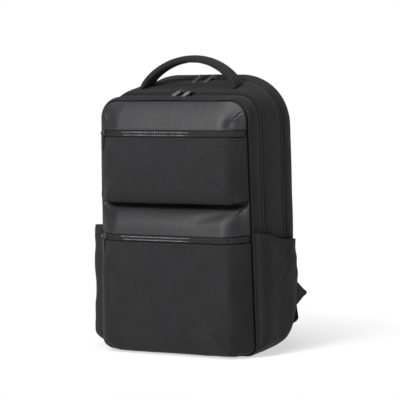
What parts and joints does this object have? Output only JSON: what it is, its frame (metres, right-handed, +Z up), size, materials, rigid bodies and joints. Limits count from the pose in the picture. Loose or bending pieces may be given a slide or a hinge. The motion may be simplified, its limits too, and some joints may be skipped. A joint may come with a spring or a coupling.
{
  "type": "laptop backpack",
  "caption": "Padded laptop backpack with rounded top, wrap-round zips, bulging front pockets, open side pockets, arched carrying handle and shoulder straps.",
  "frame": {"origin": "middle of the flat base that the bag stands on", "axes": "+Z up through the handle, -Y out of the front pockets, +Y out of the back pad, +X to the right seen from the front"},
  "size_m": [0.3403, 0.2331, 0.492],
  "materials": {
    "canvas": "matte woven canvas",
    "coated_cloth": "smooth coated cloth, low sheen",
    "padded_mesh": "padded air mesh",
    "zip_tape": "zip tape and coil",
    "webbing": "woven strap",
    "slider_metal": "dark plated metal",
    "pull_rubber": "soft satin",
    "lock_plastic": "moulded, fine grain"
  },
  "bodies": {
    "root": {"front_compartment": "canvas", "middle_gusset": "canvas", "laptop_compartment": "canvas", "front_zip": "zip_tape", "rear_zip": "zip_tape", "upper_pocket_top": "coated_cloth", "upper_pocket_zip": "zip_tape", "upper_pocket_face": "canvas", "lower_pocket_top": "coated_cloth", "lower_pocket_zip": "zip_tape", "lower_pocket_face": "canvas", "upper_zip_garage": "coated_cloth", "lower_zip_garage": "coated_cloth", "side_pocket_left": "canvas", "side_pocket_hem_left": "canvas", "side_pocket_right": "canvas", "side_pocket_hem_right": "canvas", "handle": "canvas", "back_pad": "padded_mesh", "shoulder_strap_left": "padded_mesh", "ladder_lock_left": "lock_plastic", "strap_wing_left": "canvas", "strap_webbing_left": "webbing", "shoulder_strap_right": "padded_mesh", "ladder_lock_right": "lock_plastic", "strap_wing_right": "canvas", "strap_webbing_right": "webbing", "front_zip_left_slider": "slider_metal", "front_zip_left_pull": "pull_rubber", "front_zip_right_slider": "slider_metal", "front_zip_right_pull": "pull_rubber", "rear_zip_left_slider": "slider_metal", "rear_zip_left_pull": "pull_rubber", "rear_zip_right_slider": "slider_metal", "rear_zip_right_pull": "pull_rubber", "upper_pocket_slider": "slider_metal", "upper_pocket_pull": "pull_rubber", "lower_pocket_slider": "slider_metal", "lower_pocket_pull": "pull_rubber"}
  },
  "joints": []
}
